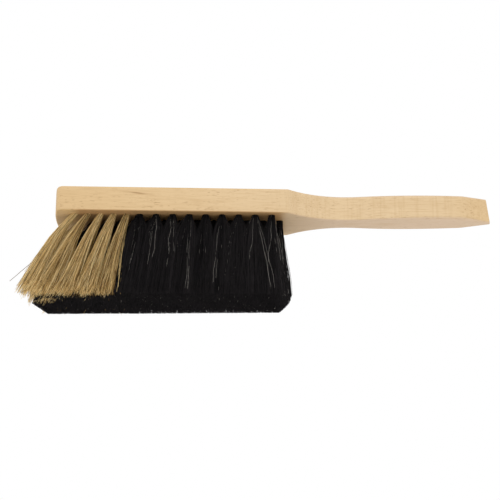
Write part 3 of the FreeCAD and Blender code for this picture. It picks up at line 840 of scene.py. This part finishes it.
def beard_strands(style, node, rng):
    """Where the hairs of a beard tuft run, how thick they are and their tones."""
    rings, place, side = TuftRings(node), place_in_row(node), side_of(node)
    outer, outlier = "outer" in node.name, node.name == OUTLIER_NODE
    root = disc_points(rng, style.hairs)
    _, tip, lock = gathered(rng, style, root, node)
    spread = style.spread * (style.front_fullness if place <= FULL_TUFTS else 1)
    mouth, point = on_ring(rings.mouth, root), on_box(rings.tip, tip * (spread, style.side_spread))

    # Uneven lengths
    ends = 1 + rng.normal(0, style.unevenness, style.locks)[lock]
    ends += rng.normal(0, style.unevenness, style.hairs)
    short = rng.uniform(0, 1, style.hairs) < style.short_share
    ends[short] -= rng.uniform(0, style.short_reach, short.sum())
    if side > 0:
        ends -= style.far_shortening

    # Tips that are drawn back or flared out, or lean in over the black
    point[:, 0] += style.front_draw / place
    if outer:
        point[:, 1] += side * style.flare
    else:
        point[:, 0] += style.inner_draw
    if outer and side > 0:
        point[:, 0] += style.far_draw / place
    if outer and side < 0:
        inward = rng.uniform(0, 1, style.hairs) < style.inward_share
        point[inward, 1] += rng.uniform(0, style.inward_reach, inward.sum())
    if place == OUTER_BEARD_TUFTS:
        backward = rng.uniform(0, 1, style.hairs) < style.backward_share
        point[backward, 0] += rng.uniform(0, style.backward_reach, backward.sum())
        point[backward, 1] += side * rng.uniform(0, style.backward_reach / 2, backward.sum())
    ends = np.minimum(ends, ends * style.longest / np.linalg.norm(point - mouth, axis=1))

    # A belly round the straight run of the tuft, and the one hair that stands out
    core = (point.mean(0) - mouth.mean(0)) * BELLY_PLACE + mouth.mean(0)
    middle = core + (mouth + (point - mouth) * BELLY_PLACE - core) * style.belly
    middle[:, 0] -= style.front_bulge / place * (1 if outer else INNER_BULGE)
    if outlier:
        point[0], ends[0] = style.outlier, 1
        middle[0] = mouth[0] + (point[0] - mouth[0]) * BELLY_PLACE
    tones = rng.uniform(*PALE_LOCK_TONES, style.locks)[lock] + rng.normal(0, PALE_SCATTER, style.hairs)
    tones += (MIDDLE_BEARD_TUFT - place) * style.front_lightness
    paths = lay_paths(rings, style, rng, (mouth, middle, point), ends, style.opening)
    thickness = style.thickness * rng.uniform(*THICKNESS_RANGE, style.hairs)
    if outlier:
        tones[0], thickness[0] = OUTLIER_TONE, OUTLIER_THICKNESS * style.thickness
    return paths, thickness, tones.clip(0, 1)


class BROOM_OT_stock(bpy.types.Operator):
    """Beech stock: the sawn and drilled board with its facets smoothed"""

    bl_idname = "broom.stock"
    bl_label = "Beech Stock"

    def execute(self, context):
        wood = context.scene.broom.wood
        stock = show("beech_stock", NODES["stock"].data.copy())
        stock.data.materials.clear()
        stock.data.materials.append(make_beech(wood))
        select_only(stock)
        bpy.ops.object.mode_set(mode="EDIT")
        bpy.ops.mesh.select_all(action="SELECT")
        bpy.ops.mesh.remove_doubles(threshold=MERGE_DISTANCE)
        bpy.ops.mesh.dissolve_limited(angle_limit=FLAT_ANGLE)
        bpy.ops.object.mode_set(mode="OBJECT")
        bpy.ops.object.shade_smooth_by_angle(angle=wood.sharp_angle)
        bpy.ops.object.modifier_add(type="WEIGHTED_NORMAL")
        weighted = stock.modifiers[-1]
        weighted.keep_sharp = True
        weighted.weight = NORMAL_WEIGHT
        bpy.ops.object.modifier_apply(modifier=weighted.name)
        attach(stock, BODY)
        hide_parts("stock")
        return {"FINISHED"}


class BROOM_OT_staples(bpy.types.Operator):
    """Finish of the wire staples that hold the tufts"""

    bl_idname = "broom.staples"
    bl_label = "Tuft Staples"

    def execute(self, context):
        staples = NODES["tuft_staples"]
        staples.material_slots[0].material = make_drawn_wire()
        return {"FINISHED"}


class BROOM_OT_black_tufts(bpy.types.Operator):
    """Black hair tufts, trimmed flat, with single light hairs among them"""

    bl_idname = "broom.black_tufts"
    bl_label = "Black Tufts"

    def execute(self, context):
        style = context.scene.broom.black_hair
        material = make_hair("black_horsehair", [
            (0.0, style.deep), (WORN_TONE, style.worn),
            (STRAY_TONE, style.stray_grey), (1.0, style.stray_tan),
        ], painted_root_shade=0.6, painted_end_light=1.25, roughness=0.55, specular=0.08)
        hair = model_hair()
        nodes = tuft_nodes(pale=False)
        boxes = [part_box(node.name) for node in nodes]
        front = min(low.x for low, _ in boxes)
        corner = Vector((max(high.x for _, high in boxes), boxes[-1][1].y))
        for number, node in enumerate(nodes):
            rng = np.random.default_rng(BLACK_SEED + number)
            strands = black_strands(style, node, rng, front, corner)
            finish_tuft(node, weave_tuft(node.name, hair, rng, *strands), material)
        bpy.data.objects.remove(hair)
        return {"FINISHED"}


class BROOM_OT_beard_tufts(bpy.types.Operator):
    """Pale hair tufts of the beard, with uneven tips"""

    bl_idname = "broom.beard_tufts"
    bl_label = "Beard Tufts"

    def execute(self, context):
        style = context.scene.broom.pale_hair
        material = make_hair("pale_horsehair", [
            (0.0, style.brown), (0.5, style.straw), (1.0, style.bleached),
        ], painted_root_shade=0.9, painted_end_light=1.1, roughness=0.55, specular=0.15)
        hair = model_hair()
        for number, node in enumerate(tuft_nodes(pale=True)):
            rng = np.random.default_rng(BEARD_SEED + number)
            strands = beard_strands(style, node, rng)
            finish_tuft(node, weave_tuft(node.name, hair, rng, *strands), material)
        bpy.data.objects.remove(hair)
        return {"FINISHED"}


def add_camera(stage):
    """The camera of the photograph, which looks up at the broom from a little below."""
    sight = Vector((0, math.cos(stage.camera_elevation), -math.sin(stage.camera_elevation)))
    up = Vector((0, math.sin(stage.camera_elevation), math.cos(stage.camera_elevation)))
    bpy.ops.object.camera_add()
    camera = bpy.context.active_object
    camera.name = "photo_camera"
    axes = Matrix((sight.cross(up), up, -sight)).transposed().to_4x4()
    place = Vector(stage.camera_aim) - sight * stage.camera_distance
    camera.matrix_world = Matrix.Translation(place) @ axes
    camera.data.lens = stage.lens
    camera.data.clip_start = NEAR_CLIP
    bpy.context.scene.camera = camera


def add_floor(stage):
    """A plain floor under the hair tips.

    It is seen from above, with its shadow. From below it is clear, and the sky lights the broom."""
    bpy.ops.mesh.primitive_plane_add(size=stage.floor_size, location=(0, 0, CAD_BOX[0].z))
    floor = bpy.context.active_object
    floor.name = "floor"
    bpy.ops.object.transform_apply(location=True, rotation=True, scale=True)
    paper = Finish("pale_floor", roughness=0.9, specular=0.0)
    paper.surface.inputs["Base Color"].default_value = stage.floor_colour
    path = paper.node("ShaderNodeLightPath").outputs
    facing = paper.node("ShaderNodeNewGeometry").outputs["Backfacing"]
    through = paper.calculate("MAXIMUM", facing, path["Is Diffuse Ray"])
    clear = paper.node("ShaderNodeBsdfTransparent").outputs["BSDF"]
    sides = paper.node("ShaderNodeMixShader", {0: through, 1: paper.surface.outputs["BSDF"], 2: clear})
    paper.feed(sides.outputs["Shader"], paper.tree.nodes["Material Output"].inputs["Surface"])
    floor.data.materials.append(paper.material)


def add_lamp(name, place, aim, power):
    """A square soft lamp that looks at a point."""
    bpy.ops.object.light_add(type="AREA")
    lamp = bpy.context.active_object
    lamp.name = name
    lamp.data.size = LAMP_SIDE
    lamp.data.energy = power
    sight = Vector(aim) - Vector(place)
    lamp.matrix_world = Matrix.Translation(place) @ sight.to_track_quat("-Z", "Y").to_matrix().to_4x4()


def light_sky(stage):
    """Even white light all round, and a plain white background."""
    world = bpy.data.worlds.new("studio")
    bpy.context.scene.world = world
    sky = Nodes(world)
    light = sky.tree.nodes["Background"]
    light.inputs["Color"].default_value = WHITE
    light.inputs["Strength"].default_value = stage.sky_strength
    white = sky.node("ShaderNodeBackground", {"Color": WHITE, "Strength": 1.0})
    path = sky.node("ShaderNodeLightPath").outputs
    seen = path["Is Camera Ray"]
    for ray in ("Is Glossy Ray", "Is Transmission Ray"):
        seen = sky.calculate("MAXIMUM", seen, path[ray])
    mixed = sky.node("ShaderNodeMixShader", {
        0: seen, 1: light.outputs["Background"], 2: white.outputs["Background"],
    })
    sky.feed(mixed.outputs["Shader"], sky.tree.nodes["World Output"].inputs["Surface"])


class BROOM_OT_stage(bpy.types.Operator):
    """Floor, soft light and the camera of the photograph"""

    bl_idname = "broom.stage"
    bl_label = "Stage"

    def execute(self, context):
        stage = context.scene.broom.stage
        add_camera(stage)
        add_floor(stage)
        add_lamp("key_lamp", KEY_PLACE, stage.camera_aim, stage.key_power)
        add_lamp("fill_lamp", FILL_PLACE, stage.camera_aim, stage.fill_power)
        light_sky(stage)
        context.scene.view_settings.view_transform = "Standard"
        return {"FINISHED"}


PIECES = (BROOM_OT_stock, BROOM_OT_staples, BROOM_OT_black_tufts, BROOM_OT_beard_tufts, BROOM_OT_stage)


class BROOM_PT_sidebar(bpy.types.Panel):
    """Lists the pieces of the broom and what can be changed on them"""

    bl_idname = "BROOM_PT_sidebar"
    bl_label = "Hand Broom"
    bl_space_type = "VIEW_3D"
    bl_region_type = "UI"
    bl_category = "Hand Broom"

    def draw(self, context):
        for piece in PIECES:
            self.layout.operator(piece.bl_idname)
        broom = context.scene.broom
        for group in (broom.wood, broom.black_hair, broom.pale_hair, broom.stage):
            box = self.layout.box()
            for name in group.bl_rna.properties.keys():
                if name not in ("rna_type", "name"):
                    box.prop(group, name)


CLASSES = (
    WoodSettings, BlackHairSettings, PaleHairSettings, StageSettings, BroomSettings,
    *PIECES, BROOM_PT_sidebar,
)


def register():
    for item in CLASSES:
        bpy.utils.register_class(item)
    bpy.types.Scene.broom = PointerProperty(type=BroomSettings)


def unregister():
    del bpy.types.Scene.broom
    for item in reversed(CLASSES):
        bpy.utils.unregister_class(item)


def main():
    register()
    bpy.ops.broom.stock()
    bpy.ops.broom.staples()
    bpy.ops.broom.black_tufts()
    bpy.ops.broom.beard_tufts()
    bpy.ops.broom.stage()


if __name__ == "__main__":
    main()
